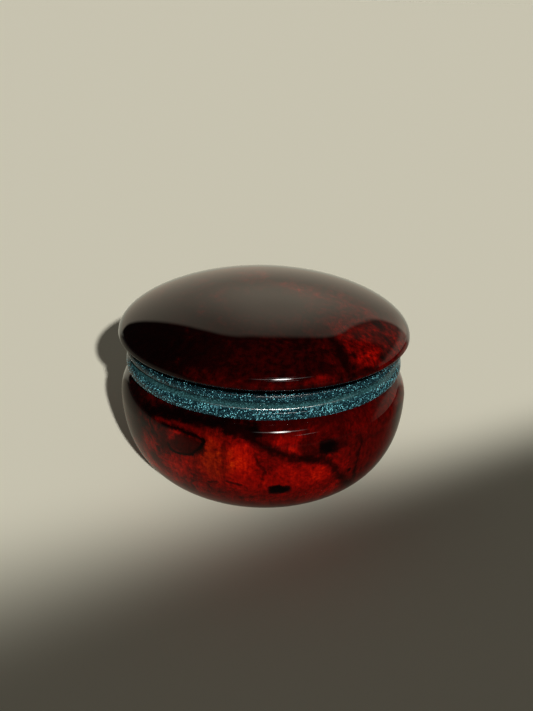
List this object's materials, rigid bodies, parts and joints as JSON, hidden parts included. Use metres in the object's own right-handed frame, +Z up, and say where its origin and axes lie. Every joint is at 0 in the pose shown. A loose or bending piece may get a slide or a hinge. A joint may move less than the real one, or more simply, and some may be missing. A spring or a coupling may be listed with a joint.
{
  "type": "trinket box",
  "caption": "Small round box turned from dyed alabaster, hollow, with a lift-off domed lid and a glitter band where it opens.",
  "frame": {"origin": "centre of the flat underside", "axes": "+Z up along the turning axis; the box is round, so +X and +Y are any two level directions"},
  "size_m": [0.09, 0.09, 0.065],
  "materials": {
    "alabaster": "dyed deep red with black veins, polished under a thick clear gloss lacquer",
    "glitter_resin": "fine teal glitter in clear glossy resin"
  },
  "bodies": {
    "root": {"bowl": "alabaster", "bowl_ring": "glitter_resin", "lid_ring": "glitter_resin", "lid": "alabaster"}
  },
  "joints": []
}
